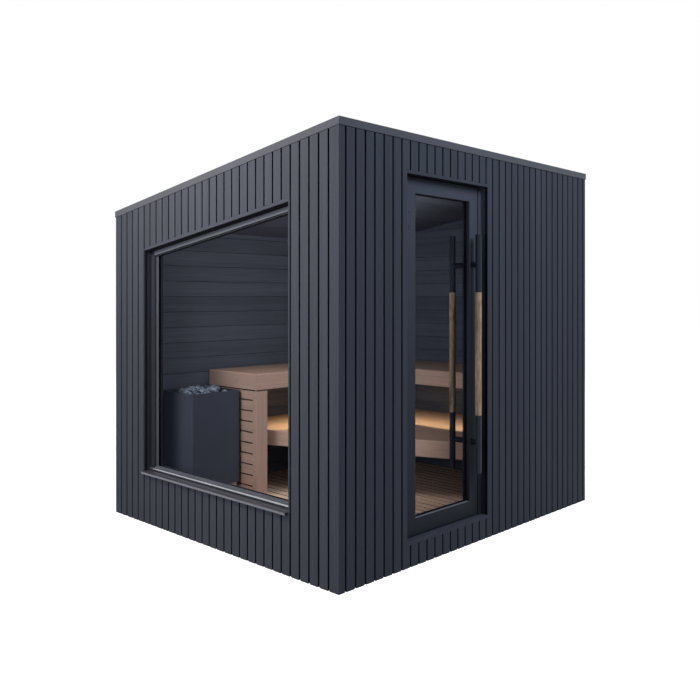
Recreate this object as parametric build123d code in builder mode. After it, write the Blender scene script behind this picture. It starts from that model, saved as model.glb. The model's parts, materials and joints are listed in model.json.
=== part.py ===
"""Outdoor sauna cabin with a mono-pitch roof: millimetres, +Z up, front (door wall) towards -Y.

The origin is the centre of the footprint on the ground. The door is in the front wall, the big
window in the left wall (-X), the heater stands in the rear left corner, and the benches fill the
right hand side. The roof falls from the front wall to the rear wall.
"""
import os

from build123d import *

os.makedirs("parts", exist_ok=True)

# Cabin outline over its boards, the height of its front roof edge and the fall to the rear one
cabin_width = 2464
cabin_depth = 2104
front_height = 2305
roof_fall = 299

# Wall build-up, from outside in
slat_thickness = 20
core_thickness = 95
lining_thickness = 20

# Upright cladding boards
slat_pitch = 70
slat_gap = 11
front_first_gap = 48
side_first_gap = 72

# Roof build-up, measured straight down from the roof edge
flashing_thickness = 4
membrane_thickness = 6
roof_thickness = 100
ceiling_thickness = 20
flashing_drop = 40
flashing_width = 90
mitre_gap = 1

# Floor build-up
base_height = 48
base_beam_width = 95
base_bearers = 5
floor_thickness = 22
floor_slat_thickness = 18
floor_slat_pitch = 70
floor_slat_gap = 10
floor_slat_margin = 6

# Window in the left wall: its head runs parallel to the roof
window_front_margin = 368
window_rear_margin = 359
window_sill_height = 327
window_frame_drop = 10
window_head_drop = 328
window_trim = 20
frame_liner = 10
window_bar_face = 35
window_bar_recess = 50
window_bar_depth = 60
window_glass_recess = 84
glass_thickness = 8
glass_rebate = 8

# Bent metal sill below the window
sill_thickness = 2
sill_overhang = 25
sill_fall = 3
sill_lip = 12
sill_upstand = 14

# Doorway in the front wall
doorway_start = 511
doorway_width = 744
doorway_bottom = 136
doorway_head_drop = 216
door_trim = 18
door_recess = 45
door_jamb_face = 34
door_head_depth = 30
door_stop_width = 15
door_stop_gap = 6

# Door leaf
door_side_gap = 8
door_end_gap = 6
door_thickness = 50
stile_width = 80
top_rail_width = 86
bottom_rail_width = 90
door_glass_recess = 24

# Hinges: three knuckles round one pin, on two straps
hinge_radius = 7
hinge_pin_radius = 4
hinge_pin_clearance = 0.3
hinge_height = 102
hinge_knuckle_gap = 0.6
hinge_strap_width = 30
hinge_strap_thickness = 3
hinge_end_distance = 231

# Pull handles, outside and inside
handle_edge_distance = 53
handle_foot_distance = 260
handle_head_distance = 282
handle_radius = 18
grip_radius = 19
grip_end_distance = 339
outer_handle_distance = 45
inner_handle_distance = 93
standoff_radius = 17
standoff_end_distance = 178

# Heater
heater_wall_gap = 120
heater_width = 388
heater_depth = 340
heater_rear_gap = 36
heater_leg_height = 94
heater_height = 620
heater_corner = 10
heater_rim = 16
heater_tray_depth = 60
heater_leg_width = 40
stone_heap_height = 28
stone_gap = 1

# Benches
upper_bench_height = 918
upper_bench_depth = 532
side_bench_depth = 622
bench_end_distance = 525
lower_bench_height = 520
lower_bench_door_gap = 155
lower_bench_end_width = 111
bench_fascia = 108
bench_board_thickness = 28
bench_edge_radius = 10
bench_clearance = 2
ledger_width = 30
ledger_height = 45
end_panel_thickness = 28
end_panel_gap = 8
end_panel_pitch = 72.3
end_panel_rear_margin = 28
post_width = 94
post_shadow_gap = 8
post_pad_inset = 10
led_width = 16
led_height = 10

# Values worked out from the driving dimensions
half_width = cabin_width / 2
half_depth = cabin_depth / 2
roof_slope = roof_fall / cabin_depth
core_x = half_width - slat_thickness
core_y = half_depth - slat_thickness
core_inner_x = core_x - core_thickness
core_inner_y = core_y - core_thickness
room_x = core_inner_x - lining_thickness
room_y = core_inner_y - lining_thickness
wall_depth = slat_thickness + core_thickness + lining_thickness
floor_panel_top = base_height + floor_thickness
floor_level = floor_panel_top + floor_slat_thickness
panel_drop = flashing_thickness + membrane_thickness
panel_underside = panel_drop + roof_thickness
ceiling_underside = panel_underside + ceiling_thickness
leg_reach = flashing_thickness
far = 2 * front_height


def roof_z(y, drop=0):
    """Height of the roof edge at a distance y along the cabin, less a drop."""
    return front_height - drop - (y + half_depth) * roof_slope


def rect(a_low, a_high, b_low, b_high, mode=Mode.ADD):
    """Adds a rectangle between two corners to the sketch that is open."""
    with Locations(((a_low + a_high) / 2, (b_low + b_high) / 2)):
        Rectangle(a_high - a_low, b_high - b_low, mode=mode)


def block(x, y, z):
    """A rectangular block between pairs of limits."""
    with BuildPart() as made:
        with BuildSketch(Plane.XY.offset(z[0])):
            rect(x[0], x[1], y[0], y[1])
        extrude(amount=z[1] - z[0])
    return made.part


def above_roof(drop):
    """All the space above a plane that lies a drop below the roof edge."""
    with BuildPart() as made:
        with BuildSketch(Plane.YZ.offset(-cabin_width)):
            Polygon(
                (-cabin_depth, roof_z(-cabin_depth, drop)),
                (cabin_depth, roof_z(cabin_depth, drop)),
                (cabin_depth, far),
                (-cabin_depth, far),
                align=None,
            )
        extrude(amount=2 * cabin_width)
    return made.part


def below_roof(drop):
    """All the space below a plane that lies a drop below the roof edge."""
    with BuildPart() as made:
        with BuildSketch(Plane.YZ.offset(-cabin_width)):
            Polygon(
                (-cabin_depth, -far),
                (cabin_depth, -far),
                (cabin_depth, roof_z(cabin_depth, drop)),
                (-cabin_depth, roof_z(-cabin_depth, drop)),
                align=None,
            )
        extrude(amount=2 * cabin_width)
    return made.part


# Floor: beams and bearers on the ground, a panel over them and a slatted wooden deck

beam_y = core_inner_y - base_beam_width

with BuildPart() as base_edge_beams:
    with BuildSketch(Plane.XY):
        rect(-core_inner_x, core_inner_x, -core_inner_y, -beam_y)
        rect(-core_inner_x, core_inner_x, beam_y, core_inner_y)
    extrude(amount=base_height)
base_edge_beams.part.label = "base_edge_beams"
export_step(base_edge_beams.part, "parts/base_edge_beams.step")

bearer_spacing = (2 * core_inner_x - base_beam_width) / (base_bearers - 1)

with BuildPart() as floor_bearers:
    with BuildSketch(Plane.XY):
        with GridLocations(bearer_spacing, 0, base_bearers, 1):
            Rectangle(base_beam_width, 2 * beam_y)
    extrude(amount=base_height)
floor_bearers.part.label = "floor_bearers"
export_step(floor_bearers.part, "parts/floor_bearers.step")

with BuildPart() as floor_panel:
    with BuildSketch(Plane.XY.offset(base_height)):
        Rectangle(2 * core_inner_x, 2 * core_inner_y)
    extrude(amount=floor_thickness)
floor_panel.part.label = "floor_panel"
export_step(floor_panel.part, "parts/floor_panel.step")

floor_slat_count = int((2 * room_x - 2 * floor_slat_margin + floor_slat_gap) // floor_slat_pitch)
with BuildPart() as floor_slats:
    with BuildSketch(Plane.XY.offset(floor_panel_top)):
        with GridLocations(floor_slat_pitch, 0, floor_slat_count, 1):
            Rectangle(floor_slat_pitch - floor_slat_gap, 2 * (room_y - floor_slat_margin))
    extrude(amount=floor_slat_thickness)
floor_slats.part.label = "floor_slats"
export_step(floor_slats.part, "parts/floor_slats.step")

# Doorway and window outlines. The core's holes are larger by the frame's liner.

doorway_top = front_height - doorway_head_drop
door_left = -half_width + doorway_start
door_right = door_left + doorway_width
frame_left = door_left - frame_liner
frame_right = door_right + frame_liner
frame_bottom = doorway_bottom - door_head_depth
frame_top = doorway_top + door_head_depth

window_front = -half_depth + window_front_margin
window_rear = half_depth - window_rear_margin
window_trim_front = window_front - slat_gap


def window_outline(grow=0):
    """The window's outline in the side view, grown or shrunk all round by an upright offset."""
    low = window_sill_height - window_frame_drop - grow
    drop = window_head_drop - grow
    front, rear = window_front - grow, window_rear + grow
    Polygon(
        (front, low),
        (rear, low),
        (rear, roof_z(rear, drop)),
        (front, roof_z(front, drop)),
        align=None,
    )


def window_prism(grow, start, depth):
    """The window's outline carried through the left wall, from a depth behind the boards' face."""
    with BuildPart() as made:
        with BuildSketch(Plane.YZ.offset(-half_width + start)):
            window_outline(grow)
        extrude(amount=depth)
    return made.part


# Wall cores: the front wall is split round the doorway, the left wall round the window

with BuildPart() as front_wall_left:
    with BuildSketch(Plane.XY):
        rect(-core_x, frame_left, -core_y, -core_inner_y)
    extrude(amount=front_height)
    add(above_roof(panel_underside), mode=Mode.SUBTRACT)
front_wall_left.part.label = "front_wall_left"
export_step(front_wall_left.part, "parts/front_wall_left.step")

with BuildPart() as front_wall_right:
    with BuildSketch(Plane.XY):
        rect(frame_right, core_x, -core_y, -core_inner_y)
    extrude(amount=front_height)
    add(above_roof(panel_underside), mode=Mode.SUBTRACT)
front_wall_right.part.label = "front_wall_right"
export_step(front_wall_right.part, "parts/front_wall_right.step")

with BuildPart() as front_wall_lintel:
    with BuildSketch(Plane.XY.offset(frame_top)):
        rect(frame_left, frame_right, -core_y, -core_inner_y)
    extrude(amount=front_height - frame_top)
    add(above_roof(panel_underside), mode=Mode.SUBTRACT)
front_wall_lintel.part.label = "front_wall_lintel"
export_step(front_wall_lintel.part, "parts/front_wall_lintel.step")

with BuildPart() as front_wall_sill:
    with BuildSketch(Plane.XY):
        rect(frame_left, frame_right, -core_y, -core_inner_y)
    extrude(amount=frame_bottom)
front_wall_sill.part.label = "front_wall_sill"
export_step(front_wall_sill.part, "parts/front_wall_sill.step")

window_core_front = window_front - frame_liner
window_core_rear = window_rear + frame_liner

with BuildPart() as window_wall_front:
    with BuildSketch(Plane.XY):
        rect(-core_x, -core_inner_x, -core_inner_y, window_core_front)
    extrude(amount=front_height)
    add(above_roof(panel_underside), mode=Mode.SUBTRACT)
window_wall_front.part.label = "window_wall_front"
export_step(window_wall_front.part, "parts/window_wall_front.step")

with BuildPart() as window_wall_rear:
    with BuildSketch(Plane.XY):
        rect(-core_x, -core_inner_x, window_core_rear, core_inner_y)
    extrude(amount=front_height)
    add(above_roof(panel_underside), mode=Mode.SUBTRACT)
window_wall_rear.part.label = "window_wall_rear"
export_step(window_wall_rear.part, "parts/window_wall_rear.step")

with BuildPart() as window_wall_lintel:
    with BuildSketch(Plane.XY):
        rect(-core_x, -core_inner_x, window_core_front, window_core_rear)
    extrude(amount=front_height)
    add(above_roof(panel_underside), mode=Mode.SUBTRACT)
    add(below_roof(window_head_drop - frame_liner), mode=Mode.SUBTRACT)
window_wall_lintel.part.label = "window_wall_lintel"
export_step(window_wall_lintel.part, "parts/window_wall_lintel.step")

with BuildPart() as window_wall_sill:
    with BuildSketch(Plane.XY):
        rect(-core_x, -core_inner_x, window_core_front, window_core_rear)
    extrude(amount=window_sill_height - window_frame_drop - frame_liner)
window_wall_sill.part.label = "window_wall_sill"
export_step(window_wall_sill.part, "parts/window_wall_sill.step")

with BuildPart() as rear_wall:
    with BuildSketch(Plane.XY):
        rect(-core_x, core_x, core_inner_y, core_y)
    extrude(amount=front_height)
    add(above_roof(panel_underside), mode=Mode.SUBTRACT)
rear_wall.part.label = "rear_wall"
export_step(rear_wall.part, "parts/rear_wall.step")

with BuildPart() as right_wall:
    with BuildSketch(Plane.XY):
        rect(core_inner_x, core_x, -core_inner_y, core_inner_y)
    extrude(amount=front_height)
    add(above_roof(panel_underside), mode=Mode.SUBTRACT)
right_wall.part.label = "right_wall"
export_step(right_wall.part, "parts/right_wall.step")

# Cladding: upright boards with open joints, mitred at the corners

front_joints = int((cabin_width - front_first_gap - slat_gap) // slat_pitch) + 1
side_joints = int((cabin_depth - side_first_gap - slat_gap) // slat_pitch) + 1
front_joint_places = [
    -half_width + front_first_gap + slat_pitch * number for number in range(front_joints)
]
side_joint_places = [
    -half_depth + side_first_gap + slat_pitch * number for number in range(side_joints)
]


def mitred_strip(half_length, face, inward):
    """Plan of one wall's boards as a strip along X, mitred at both ends."""
    back = face + inward
    inner_half = half_length - slat_thickness
    Polygon(
        (-half_length, face),
        (half_length, face),
        (inner_half, back),
        (-inner_half, back),
        align=None,
    )


def joints_along_x(places, middle):
    """Cuts the open joints out of a wall's boards that stand in a row along X."""
    with Locations(*[(place, middle) for place in places]):
        Rectangle(slat_gap, 2 * slat_thickness, mode=Mode.SUBTRACT)


with BuildPart() as front_cladding:
    with BuildSketch(Plane.XY):
        mitred_strip(half_width, -half_depth, slat_thickness)
        joints_along_x(front_joint_places, -half_depth)
    extrude(amount=front_height)
    add(above_roof(flashing_thickness), mode=Mode.SUBTRACT)
    add(
        block(
            (door_left, door_right),
            (-cabin_depth, 0),
            (doorway_bottom - door_trim, doorway_top + door_trim),
        ),
        mode=Mode.SUBTRACT,
    )
front_cladding.part.label = "front_cladding"
export_step(front_cladding.part, "parts/front_cladding.step")

with BuildPart() as rear_cladding:
    with BuildSketch(Plane.XY):
        mitred_strip(half_width, half_depth, -slat_thickness)
        joints_along_x(front_joint_places, half_depth)
    extrude(amount=front_height)
    add(above_roof(flashing_thickness), mode=Mode.SUBTRACT)
rear_cladding.part.label = "rear_cladding"
export_step(rear_cladding.part, "parts/rear_cladding.step")

quarter_turn = Plane(origin=(0, 0, 0), x_dir=(0, 1, 0), z_dir=(0, 0, 1))

with BuildPart() as window_cladding:
    with BuildSketch(quarter_turn):
        mitred_strip(half_depth, half_width, -slat_thickness)
        joints_along_x(side_joint_places, half_width)
    extrude(amount=front_height)
    add(above_roof(flashing_thickness), mode=Mode.SUBTRACT)
    with BuildSketch(Plane.YZ.offset(-half_width)):
        Polygon(
            (window_trim_front, window_sill_height),
            (window_rear, window_sill_height),
            (window_rear, roof_z(window_rear, window_head_drop - window_trim)),
            (window_trim_front, roof_z(window_trim_front, window_head_drop - window_trim)),
            align=None,
        )
    extrude(amount=slat_thickness, mode=Mode.SUBTRACT)
window_cladding.part.label = "window_cladding"
export_step(window_cladding.part, "parts/window_cladding.step")

with BuildPart() as right_cladding:
    with BuildSketch(quarter_turn):
        mitred_strip(half_depth, -half_width, slat_thickness)
        joints_along_x(side_joint_places, -half_width)
    extrude(amount=front_height)
    add(above_roof(flashing_thickness), mode=Mode.SUBTRACT)
right_cladding.part.label = "right_cladding"
export_step(right_cladding.part, "parts/right_cladding.step")

# Plain strips that close the boards over the window and at its front edge, and over and under
# the door

with BuildPart() as opening_trims:
    with BuildSketch(Plane.YZ.offset(-half_width)):
        Polygon(
            (window_trim_front, window_sill_height),
            (window_front, window_sill_height),
            (window_front, roof_z(window_front, window_head_drop)),
            (window_rear, roof_z(window_rear, window_head_drop)),
            (window_rear, roof_z(window_rear, window_head_drop - window_trim)),
            (window_trim_front, roof_z(window_trim_front, window_head_drop - window_trim)),
            align=None,
        )
    extrude(amount=slat_thickness)
    with BuildSketch(Plane.XZ.offset(half_depth)):
        rect(door_left, door_right, doorway_top, doorway_top + door_trim)
        rect(door_left, door_right, doorway_bottom - door_trim, doorway_bottom)
    extrude(amount=-slat_thickness)
opening_trims.part.label = "opening_trims"
export_step(opening_trims.part, "parts/opening_trims.step")

# Inner lining of the four walls, from the floor panel to the ceiling

with BuildPart() as wall_lining:
    with BuildSketch(Plane.XY.offset(floor_panel_top)):
        rect(-core_inner_x, core_inner_x, room_y, core_inner_y)
        rect(-core_inner_x, core_inner_x, -core_inner_y, -room_y)
        rect(-core_inner_x, -room_x, -room_y + mitre_gap, room_y - mitre_gap)
        rect(room_x, core_inner_x, -room_y + mitre_gap, room_y - mitre_gap)
    extrude(amount=front_height)
    add(above_roof(panel_underside), mode=Mode.SUBTRACT)
    add(
        block((frame_left, frame_right), (-core_inner_y, -room_y), (0, frame_top)),
        mode=Mode.SUBTRACT,
    )
    add(
        window_prism(frame_liner, slat_thickness + core_thickness, lining_thickness),
        mode=Mode.SUBTRACT,
    )
wall_lining.part.label = "wall_lining"
export_step(wall_lining.part, "parts/wall_lining.step")

# Roof: insulated panel, weather skin, ceiling lining and folded edge flashings

with BuildPart() as roof_panel:
    with BuildSketch(Plane.XY):
        Rectangle(2 * core_x, 2 * core_y)
    extrude(amount=front_height)
    add(above_roof(panel_drop), mode=Mode.SUBTRACT)
    add(below_roof(panel_underside), mode=Mode.SUBTRACT)
roof_panel.part.label = "roof_panel"
export_step(roof_panel.part, "parts/roof_panel.step")

with BuildPart() as roof_skin:
    with BuildSketch(Plane.XY):
        Rectangle(2 * core_x, 2 * core_y)
    extrude(amount=front_height)
    add(above_roof(flashing_thickness), mode=Mode.SUBTRACT)
    add(below_roof(panel_drop), mode=Mode.SUBTRACT)
roof_skin.part.label = "roof_skin"
export_step(roof_skin.part, "parts/roof_skin.step")

with BuildPart() as ceiling_lining:
    with BuildSketch(Plane.XY):
        Rectangle(2 * (room_x - mitre_gap), 2 * (room_y - mitre_gap))
    extrude(amount=front_height)
    add(above_roof(panel_underside), mode=Mode.SUBTRACT)
    add(below_roof(ceiling_underside), mode=Mode.SUBTRACT)
ceiling_lining.part.label = "ceiling_lining"
export_step(ceiling_lining.part, "parts/ceiling_lining.step")

edge_x = half_width + leg_reach
edge_y = half_depth + leg_reach


def edge_flashing(*corners):
    """A folded flashing over one roof edge, from its mitred plan: a flange and an outer leg."""
    with BuildPart() as made:
        with BuildSketch(Plane.XY):
            Polygon(*corners, align=None)
        extrude(amount=2 * front_height)
        add(above_roof(0), mode=Mode.SUBTRACT)
        add(below_roof(flashing_drop), mode=Mode.SUBTRACT)
        with BuildSketch(Plane.XY):
            Rectangle(cabin_width, cabin_depth)
        hollow = extrude(amount=2 * front_height, mode=Mode.PRIVATE)
        add(hollow - above_roof(flashing_thickness), mode=Mode.SUBTRACT)
    return made.part


flange_x = half_width - flashing_width
flange_y = half_depth - flashing_width

with BuildPart() as front_edge_flashing:
    add(
        edge_flashing(
            (-edge_x + mitre_gap, -edge_y),
            (edge_x - mitre_gap, -edge_y),
            (flange_x - mitre_gap, -flange_y),
            (-flange_x + mitre_gap, -flange_y),
        )
    )
front_edge_flashing.part.label = "front_edge_flashing"
export_step(front_edge_flashing.part, "parts/front_edge_flashing.step")

with BuildPart() as rear_edge_flashing:
    add(
        edge_flashing(
            (-edge_x + mitre_gap, edge_y),
            (-flange_x + mitre_gap, flange_y),
            (flange_x - mitre_gap, flange_y),
            (edge_x - mitre_gap, edge_y),
        )
    )
rear_edge_flashing.part.label = "rear_edge_flashing"
export_step(rear_edge_flashing.part, "parts/rear_edge_flashing.step")

with BuildPart() as left_edge_flashing:
    add(
        edge_flashing(
            (-edge_x, -edge_y),
            (-flange_x, -flange_y),
            (-flange_x, flange_y),
            (-edge_x, edge_y),
        )
    )
left_edge_flashing.part.label = "left_edge_flashing"
export_step(left_edge_flashing.part, "parts/left_edge_flashing.step")

with BuildPart() as right_edge_flashing:
    add(
        edge_flashing(
            (edge_x, -edge_y),
            (edge_x, edge_y),
            (flange_x, flange_y),
            (flange_x, -flange_y),
        )
    )
right_edge_flashing.part.label = "right_edge_flashing"
export_step(right_edge_flashing.part, "parts/right_edge_flashing.step")


# Window frame: a liner through the wall that carries a glazing bar with a groove for the glass

def window_ring():
    """The whole window frame as one ring."""
    with BuildPart() as made:
        add(window_prism(frame_liner, slat_thickness, wall_depth - slat_thickness))
        add(window_prism(0, 0, wall_depth), mode=Mode.SUBTRACT)
        add(window_prism(0, window_bar_recess, window_bar_depth))
        add(window_prism(-window_bar_face, 0, wall_depth), mode=Mode.SUBTRACT)
        groove = glass_rebate - window_bar_face
        add(window_prism(groove, window_glass_recess, glass_thickness), mode=Mode.SUBTRACT)
    return made.part


window_left_x = -half_width
window_ends = [
    block((window_left_x, window_left_x + wall_depth), limits, (0, front_height))
    for limits in (
        (window_front - frame_liner, window_front + window_bar_face),
        (window_rear - window_bar_face, window_rear + frame_liner),
    )
]

with BuildPart() as window_jambs:
    add(window_ring())
    add(
        block(
            (window_left_x, window_left_x + wall_depth),
            (window_front + window_bar_face, window_rear - window_bar_face),
            (0, front_height),
        ),
        mode=Mode.SUBTRACT,
    )
window_jambs.part.label = "window_jambs"
export_step(window_jambs.part, "parts/window_jambs.step")

with BuildPart() as window_rails:
    add(window_ring())
    add(window_ends, mode=Mode.SUBTRACT)
window_rails.part.label = "window_rails"
export_step(window_rails.part, "parts/window_rails.step")

with BuildPart() as window_glass:
    add(window_prism(glass_rebate - window_bar_face, window_glass_recess, glass_thickness))
window_glass.part.label = "window_glass"
export_step(window_glass.part, "parts/window_glass.step")

sill_front = -half_width - sill_overhang
sill_back = -half_width + window_bar_recess
sill_low = window_sill_height + sill_thickness

with BuildPart() as window_sill:
    with BuildSketch(Plane.XZ.offset(-window_front)):
        with BuildLine():
            Polyline(
                (sill_front, sill_low - sill_lip),
                (sill_front, sill_low),
                (sill_back - sill_thickness, sill_low + sill_fall),
                (sill_back - sill_thickness, sill_low + sill_fall + sill_upstand),
                (sill_back, sill_low + sill_fall + sill_upstand),
                (sill_back, sill_low + sill_fall - sill_thickness),
                (sill_front + sill_thickness, sill_low - sill_thickness),
                (sill_front + sill_thickness, sill_low - sill_lip),
                close=True,
            )
        make_face()
    extrude(amount=window_front - window_rear)
window_sill.part.label = "window_sill"
export_step(window_sill.part, "parts/window_sill.step")

# Door frame: two jambs, a head and a threshold, each with a stop behind the leaf

jamb_left = door_left + door_jamb_face
jamb_right = door_right - door_jamb_face
leaf_left = jamb_left + door_side_gap
leaf_right = jamb_right - door_side_gap
leaf_bottom = doorway_bottom + door_end_gap
leaf_top = doorway_top - door_end_gap
leaf_front = -half_depth + door_recess
leaf_back = leaf_front + door_thickness
stop_front = leaf_back + door_stop_gap
liner_front = -half_depth + slat_thickness

with BuildPart() as door_jambs:
    with BuildSketch(Plane.XY.offset(doorway_bottom)):
        rect(frame_left, door_left, liner_front, -room_y)
        rect(door_left, jamb_left, leaf_front, -room_y)
        rect(jamb_left, jamb_left + door_stop_width, stop_front, -room_y)
        rect(door_right, frame_right, liner_front, -room_y)
        rect(jamb_right, door_right, leaf_front, -room_y)
        rect(jamb_right - door_stop_width, jamb_right, stop_front, -room_y)
    extrude(amount=doorway_top - doorway_bottom)
door_jambs.part.label = "door_jambs"
export_step(door_jambs.part, "parts/door_jambs.step")

with BuildPart() as door_head:
    with BuildSketch(Plane.XY.offset(doorway_top)):
        rect(frame_left, frame_right, liner_front, -room_y)
    extrude(amount=door_head_depth)
    with BuildSketch(Plane.XY.offset(doorway_top)):
        rect(jamb_left + door_stop_width, jamb_right - door_stop_width, stop_front, -room_y)
    extrude(amount=-door_stop_width)
door_head.part.label = "door_head"
export_step(door_head.part, "parts/door_head.step")

with BuildPart() as door_threshold:
    with BuildSketch(Plane.XY.offset(doorway_bottom)):
        rect(frame_left, frame_right, liner_front, -room_y)
    extrude(amount=-door_head_depth)
    with BuildSketch(Plane.XY.offset(doorway_bottom)):
        rect(jamb_left + door_stop_width, jamb_right - door_stop_width, stop_front, -room_y)
    extrude(amount=door_stop_width)
door_threshold.part.label = "door_threshold"
export_step(door_threshold.part, "parts/door_threshold.step")

# Door leaf: stiles and rails round one sheet of glass in a groove

glass_left = leaf_left + stile_width
glass_right = leaf_right - stile_width
glass_bottom = leaf_bottom + bottom_rail_width
glass_top = leaf_top - top_rail_width
door_glass_front = leaf_front + door_glass_recess


def door_glass_sheet():
    """The door's glass with the edges that its groove hides."""
    return block(
        (glass_left - glass_rebate, glass_right + glass_rebate),
        (door_glass_front, door_glass_front + glass_thickness),
        (glass_bottom - glass_rebate, glass_top + glass_rebate),
    )


with BuildPart() as door_stiles:
    with BuildSketch(Plane.XY.offset(leaf_bottom)):
        rect(leaf_left, glass_left, leaf_front, leaf_back)
        rect(glass_right, leaf_right, leaf_front, leaf_back)
    extrude(amount=leaf_top - leaf_bottom)
    add(door_glass_sheet(), mode=Mode.SUBTRACT)
door_stiles.part.label = "door_stiles"
export_step(door_stiles.part, "parts/door_stiles.step")

with BuildPart() as door_rails:
    with BuildSketch(Plane.XZ.offset(-leaf_front)):
        rect(glass_left, glass_right, glass_top, leaf_top)
        rect(glass_left, glass_right, leaf_bottom, glass_bottom)
    extrude(amount=-door_thickness)
    add(door_glass_sheet(), mode=Mode.SUBTRACT)
door_rails.part.label = "door_rails"
export_step(door_rails.part, "parts/door_rails.step")

with BuildPart() as door_glass:
    add(door_glass_sheet())
door_glass.part.label = "door_glass"
export_step(door_glass.part, "parts/door_glass.step")

# Hinges: the frame's strap carries the pin and two knuckles, the leaf's strap the middle one

hinge_x = (jamb_left + leaf_left) / 2
hinge_y = leaf_front - hinge_radius
hinge_heights = (leaf_bottom + hinge_end_distance, leaf_top - hinge_end_distance)
knuckle = hinge_height / 3
strap_back = leaf_front
strap_front = leaf_front - hinge_strap_thickness

with BuildPart() as frame_hinges:
    for height in hinge_heights:
        foot = height - hinge_height / 2
        for knuckle_foot in (foot, foot + 2 * knuckle):
            with BuildSketch(Plane.XY.offset(knuckle_foot)):
                with Locations((hinge_x, hinge_y)):
                    Circle(hinge_radius)
                rect(hinge_x - hinge_radius - hinge_strap_width, hinge_x, strap_front, strap_back)
            extrude(amount=knuckle)
        with BuildSketch(Plane.XY.offset(foot)):
            with Locations((hinge_x, hinge_y)):
                Circle(hinge_pin_radius)
            rect(
                hinge_x - hinge_radius - hinge_strap_width,
                hinge_x - hinge_radius - hinge_knuckle_gap,
                strap_front,
                strap_back,
            )
        extrude(amount=hinge_height)
frame_hinges.part.label = "frame_hinges"
export_step(frame_hinges.part, "parts/frame_hinges.step")

with BuildPart() as leaf_hinges:
    for height in hinge_heights:
        foot = height - knuckle / 2 + hinge_knuckle_gap
        with BuildSketch(Plane.XY.offset(foot)):
            with Locations((hinge_x, hinge_y)):
                Circle(hinge_radius)
            rect(hinge_x, hinge_x + hinge_radius + hinge_strap_width, strap_front, strap_back)
            with Locations((hinge_x, hinge_y)):
                Circle(hinge_pin_radius + hinge_pin_clearance, mode=Mode.SUBTRACT)
        extrude(amount=knuckle - 2 * hinge_knuckle_gap)
        with BuildSketch(Plane.XY.offset(height - hinge_height / 2)):
            rect(
                hinge_x + hinge_radius + hinge_knuckle_gap,
                hinge_x + hinge_radius + hinge_strap_width,
                strap_front,
                strap_back,
            )
        extrude(amount=hinge_height)
leaf_hinges.part.label = "leaf_hinges"
export_step(leaf_hinges.part, "parts/leaf_hinges.step")

# Pull handles: metal bars with a wooden grip round their middle, on two stand-offs each

handle_x = leaf_right - handle_edge_distance
outer_bar_y = leaf_front - outer_handle_distance
inner_bar_y = leaf_back + inner_handle_distance
handle_bottom = leaf_bottom + handle_foot_distance
handle_top = leaf_top - handle_head_distance
grip_bottom = handle_bottom + grip_end_distance
grip_top = handle_top - grip_end_distance
standoff_heights = (
    handle_bottom + standoff_end_distance,
    handle_top - standoff_end_distance,
)

with BuildPart() as handle_bars:
    with BuildSketch(Plane.XY.offset(handle_bottom)):
        with Locations((handle_x, outer_bar_y), (handle_x, inner_bar_y)):
            Circle(handle_radius)
    extrude(amount=grip_bottom - handle_bottom)
    with BuildSketch(Plane.XY.offset(grip_top)):
        with Locations((handle_x, outer_bar_y), (handle_x, inner_bar_y)):
            Circle(handle_radius)
    extrude(amount=handle_top - grip_top)
handle_bars.part.label = "handle_bars"
export_step(handle_bars.part, "parts/handle_bars.step")

with BuildPart() as handle_grips:
    with BuildSketch(Plane.XY.offset(grip_bottom)):
        with Locations((handle_x, outer_bar_y), (handle_x, inner_bar_y)):
            Circle(grip_radius)
    extrude(amount=grip_top - grip_bottom)
handle_grips.part.label = "handle_grips"
export_step(handle_grips.part, "parts/handle_grips.step")

with BuildPart() as handle_standoffs:
    for height in standoff_heights:
        with BuildSketch(Plane.XZ.offset(-leaf_front)):
            with Locations((handle_x, height)):
                Circle(standoff_radius)
        extrude(amount=outer_handle_distance)
        with BuildSketch(Plane.XZ.offset(-leaf_back)):
            with Locations((handle_x, height)):
                Circle(standoff_radius)
        extrude(amount=-inner_handle_distance)
    with BuildSketch(Plane.XY.offset(handle_bottom)):
        with Locations((handle_x, outer_bar_y), (handle_x, inner_bar_y)):
            Circle(handle_radius)
    extrude(amount=handle_top - handle_bottom, mode=Mode.SUBTRACT)
handle_standoffs.part.label = "handle_standoffs"
export_step(handle_standoffs.part, "parts/handle_standoffs.step")

# Heater in the rear left corner: a sheet metal casing on legs, with a tray of stones

heater_x = (-room_x + heater_wall_gap, -room_x + heater_wall_gap + heater_width)
heater_y = (room_y - heater_rear_gap - heater_depth, room_y - heater_rear_gap)
heater_bottom = floor_level + heater_leg_height
heater_top = heater_bottom + heater_height
heater_middle = ((heater_x[0] + heater_x[1]) / 2, (heater_y[0] + heater_y[1]) / 2)
tray_width = heater_width - 2 * heater_rim
tray_depth = heater_depth - 2 * heater_rim

with BuildPart() as heater_casing:
    with BuildSketch(Plane.XY.offset(heater_bottom)):
        with Locations(heater_middle):
            RectangleRounded(heater_width, heater_depth, heater_corner)
    extrude(amount=heater_height)
    with BuildSketch(Plane.XY.offset(heater_top)):
        with Locations(heater_middle):
            RectangleRounded(tray_width, tray_depth, heater_corner / 2)
    extrude(amount=-heater_tray_depth, mode=Mode.SUBTRACT)
heater_casing.part.label = "heater_casing"
export_step(heater_casing.part, "parts/heater_casing.step")

with BuildPart() as heater_legs:
    with BuildSketch(Plane.XY.offset(floor_level)):
        with Locations(heater_middle):
            with GridLocations(
                tray_width - heater_leg_width, tray_depth - heater_leg_width, 2, 2
            ):
                Rectangle(heater_leg_width, heater_leg_width)
    extrude(amount=heater_leg_height)
heater_legs.part.label = "heater_legs"
export_step(heater_legs.part, "parts/heater_legs.step")

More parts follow.
